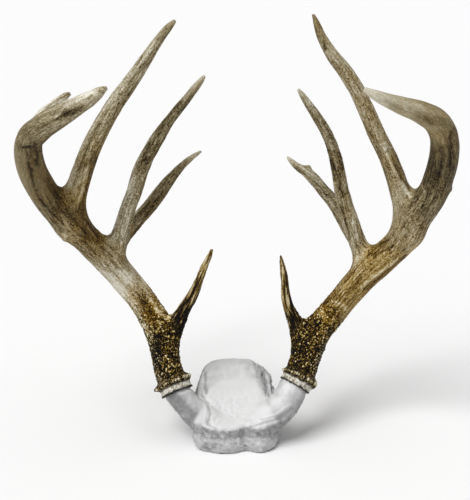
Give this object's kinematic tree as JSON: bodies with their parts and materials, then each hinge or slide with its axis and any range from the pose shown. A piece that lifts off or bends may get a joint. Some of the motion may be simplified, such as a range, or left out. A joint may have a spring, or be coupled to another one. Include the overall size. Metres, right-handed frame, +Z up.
{
  "type": "pair of deer antlers on a skull plate",
  "caption": "Branching deer antlers with pearled beams and burrs, seated on the pedicles of a white cast skull plate that stands on its flat underside.",
  "frame": {"origin": "centre of the plate's flat underside", "axes": "+Z up, -Y to the front, +X to the viewer's right when the front is seen"},
  "size_m": [0.4724, 0.1718, 0.4884],
  "materials": {
    "plate": "satin white casting, lightly pitted and chiselled",
    "antler": "dark brown crevices and cream pearls low down, grey-tan streaks above, pale tips"
  },
  "bodies": {
    "root": {"skull_plate": "plate", "left_main_beam": "antler", "left_brow_tine": "antler", "left_second_tine": "antler", "left_second_tine_branch": "antler", "left_third_tine": "antler", "left_fourth_tine": "antler", "right_main_beam": "antler", "right_brow_tine": "antler", "right_second_tine": "antler", "right_second_tine_branch": "antler", "right_third_tine": "antler"}
  },
  "joints": []
}
